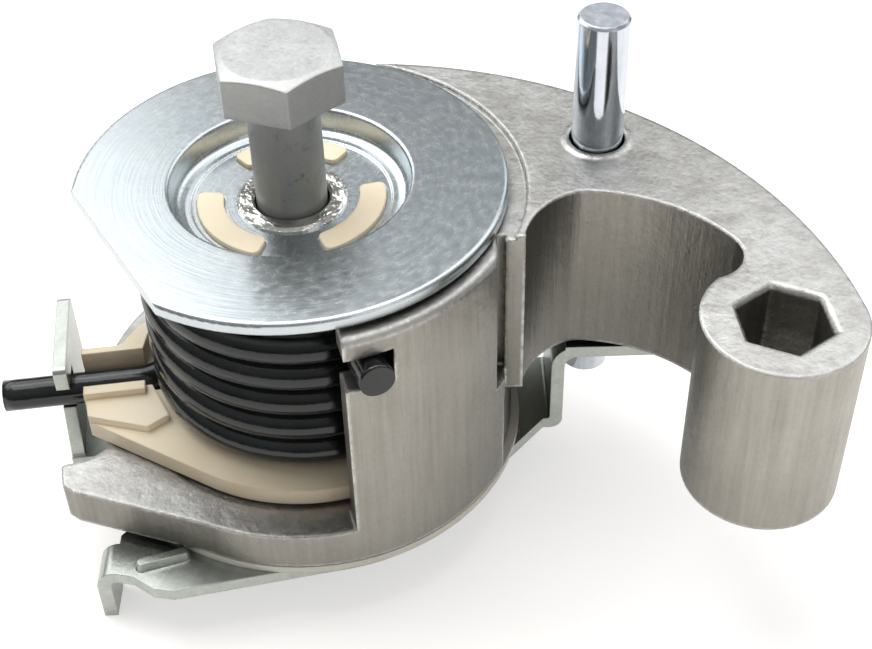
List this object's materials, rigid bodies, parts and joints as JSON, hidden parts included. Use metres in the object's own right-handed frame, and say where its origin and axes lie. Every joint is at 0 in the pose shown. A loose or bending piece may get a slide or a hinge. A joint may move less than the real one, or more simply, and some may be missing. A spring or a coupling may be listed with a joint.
{
  "type": "belt tensioner arm assembly",
  "caption": "Spring-loaded belt tensioner arm on a pressed base plate, held by a lock pin, with a torsion spring, pivot bolt and a hexagon socket at the arm's end.",
  "frame": {"origin": "on the pivot axis, in the base plate's mounting face", "axes": "+Z along the pivot towards the bolt head, +X from the pivot to the arm's hexagon boss while the lock pin is in"},
  "size_m": [0.1215, 0.0791, 0.0768],
  "materials": {
    "cast_aluminium": "as cast, matte",
    "zinc_sheet": "zinc plated, satin",
    "nickel_tube": "bright",
    "black_spring": "gloss black",
    "cream_polymer": "matte",
    "bush_lining": "matte",
    "bolt_steel": "phosphated, satin",
    "pin_steel": "ground"
  },
  "bodies": {
    "base": {"base_plate": "zinc_sheet", "thrust_ring": "cream_polymer", "pivot_tube": "nickel_tube", "friction_ring": "cream_polymer", "front_disc": "zinc_sheet", "mounting_bolt": "bolt_steel", "torsion_spring": "black_spring", "spring_seat": "cream_polymer"},
    "arm": {"arm": "cast_aluminium", "bearing_bush": "bush_lining"},
    "lock_pin": {"lock_pin": "pin_steel"}
  },
  "joints": [
    {"name": "arm_swing", "type": "hinge", "parent": "base", "child": "arm", "pos_m": [0, 0, 0.02], "axis": [0, 0, 1], "range_deg": [0, 45], "deforming": ["torsion_spring"]},
    {"name": "pin_pull", "type": "slide", "parent": "arm", "child": "lock_pin", "axis": [0, 0, 1], "range_m": [0, 0.042]}
  ]
}
